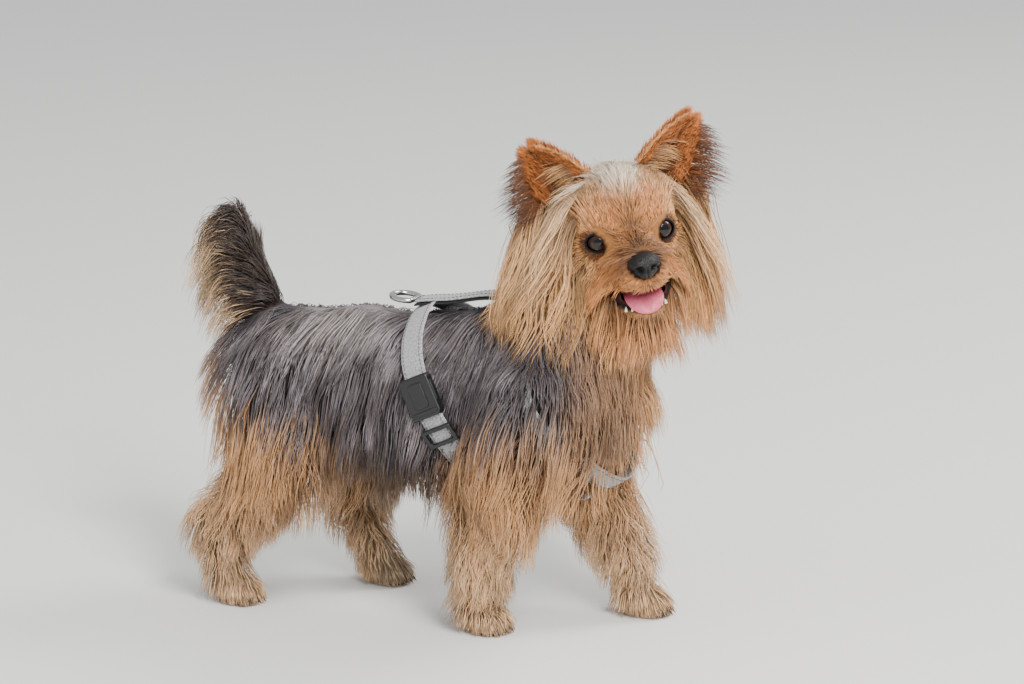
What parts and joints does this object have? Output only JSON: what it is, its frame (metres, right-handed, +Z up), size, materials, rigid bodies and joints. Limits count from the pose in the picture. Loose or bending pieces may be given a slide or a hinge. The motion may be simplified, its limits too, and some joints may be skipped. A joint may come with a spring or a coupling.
{
  "type": "yorkshire terrier",
  "caption": "Life-size standing Yorkshire terrier with a long coat, head turned to its right, mouth open, tail up, in a webbing walking harness.",
  "frame": {"origin": "on the floor below the middle of the model's box", "axes": "+X towards the dog's chest, +Y towards its left side, +Z up"},
  "size_m": [0.335, 0.1522, 0.3004],
  "materials": {
    "coat_body": "long silky hair, slate grey over tan",
    "coat_tan": "long silky hair, tan and gold",
    "coat_head": "long silky hair, golden tan",
    "coat_tail": "long hair, near black with a tan fringe",
    "ear_skin": "short red-brown hair on thin skin",
    "paw": "short hair, leathery pads and horn claws",
    "eye": "wet, dark brown",
    "nose": "damp black leather",
    "tongue": "wet, pink",
    "tooth": "ivory enamel",
    "webbing": "light grey melange woven webbing",
    "buckle": "black moulded plastic",
    "ring": "nickel-plated steel"
  },
  "bodies": {
    "root": {"torso": "coat_body", "neck": "coat_body", "tail": "coat_tail", "head": "coat_head", "jaw": "coat_head", "foreleg_right": "coat_tan", "foreleg_left": "coat_tan", "hindleg_right": "coat_tan", "hindleg_left": "coat_tan", "ear_right": "ear_skin", "ear_left": "ear_skin", "forepaw_right": "paw", "forepaw_left": "paw", "hindpaw_right": "paw", "hindpaw_left": "paw", "eye_right": "eye", "eye_left": "eye", "nose": "nose", "tongue": "tongue", "tooth_right": "tooth", "tooth_left": "tooth", "back_strap": "webbing", "girth_strap": "webbing", "neck_strap": "webbing", "chest_strap": "webbing", "buckle": "buckle", "girth_slider": "buckle", "chest_slider": "buckle", "ring": "ring"}
  },
  "joints": []
}
